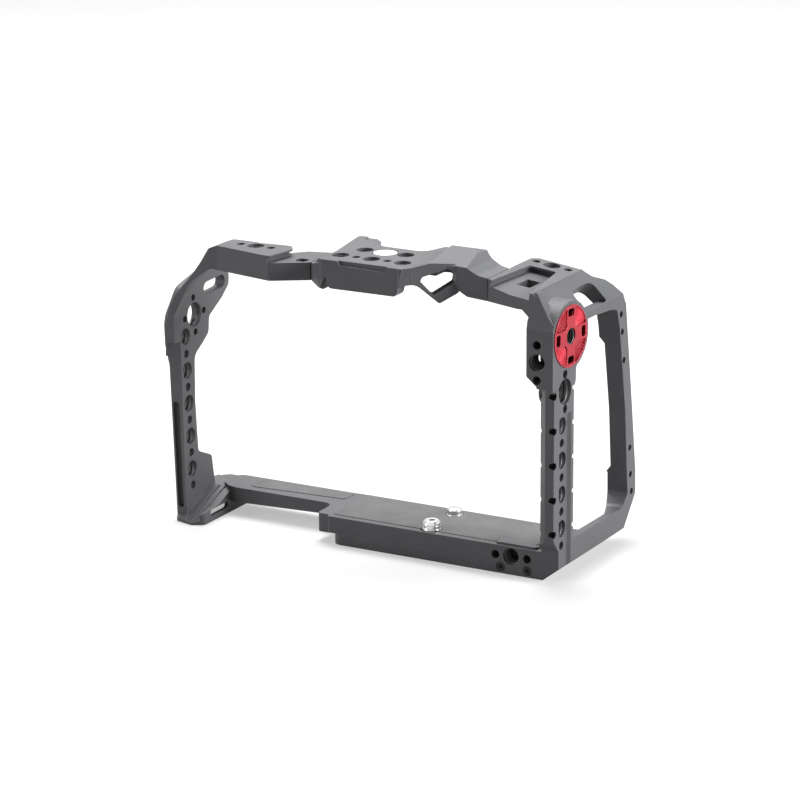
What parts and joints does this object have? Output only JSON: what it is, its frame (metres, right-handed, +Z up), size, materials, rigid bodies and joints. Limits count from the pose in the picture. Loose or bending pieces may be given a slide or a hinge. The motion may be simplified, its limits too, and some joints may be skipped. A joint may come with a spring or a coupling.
{
  "type": "camera cage",
  "caption": "Machined metal cage that surrounds a camera: two open side frames, a bridge across the top and a padded base with a camera screw and a sprung locating pin.",
  "frame": {"origin": "middle of the underside of the overall box", "axes": "+X along the width towards the side with the toothed disc, -Y the lens side, +Z up"},
  "size_m": [0.1636, 0.0738, 0.1136],
  "materials": {
    "right_frame": "dark anodised",
    "left_frame": "dark anodised",
    "top_bridge": "dark anodised",
    "base_plate": "dark anodised",
    "lower_plate": "dark anodised",
    "base_pad": "matt",
    "rail_pad": "matt",
    "camera_screw": "bright",
    "screw_clip": "spring steel",
    "locating_pin": "bright",
    "pin_spring": "spring steel",
    "pin_retainer": "plain steel",
    "rosette_disc": "red anodised",
    "key_magnet": "nickel plated",
    "bridge_screws_left": "blackened",
    "bridge_screws_right": "blackened",
    "leg_screws": "blackened",
    "front_screws": "blackened",
    "base_screws": "blackened"
  },
  "bodies": {
    "cage": {"right_frame": "right_frame", "left_frame": "left_frame", "top_bridge": "top_bridge", "base_plate": "base_plate", "lower_plate": "lower_plate", "base_pad": "base_pad", "rail_pad": "rail_pad", "pin_spring": "pin_spring", "pin_retainer": "pin_retainer", "rosette_disc": "rosette_disc", "key_magnet": "key_magnet", "bridge_screws_left": "bridge_screws_left", "bridge_screws_right": "bridge_screws_right", "leg_screws": "leg_screws", "front_screws": "front_screws", "base_screws": "base_screws"},
    "clip": {"screw_clip": "screw_clip"},
    "screw": {"camera_screw": "camera_screw"},
    "pin": {"locating_pin": "locating_pin"}
  },
  "joints": [
    {"name": "screw_lift", "type": "slide", "parent": "cage", "child": "clip", "axis": [0, 0, 1], "range_m": [0, 0.0014]},
    {"name": "screw_turn", "type": "hinge", "parent": "clip", "child": "screw", "pos_m": [0.02637, -0.02095, 0.008], "axis": [0, 0, 1], "continuous": true},
    {"name": "pin_press", "type": "slide", "parent": "cage", "child": "pin", "axis": [0, 0, -1], "range_m": [0, 0.0022], "stiffness_N_per_m": 600, "springref_m": -0.0015, "deforming": ["pin_spring"]}
  ]
}
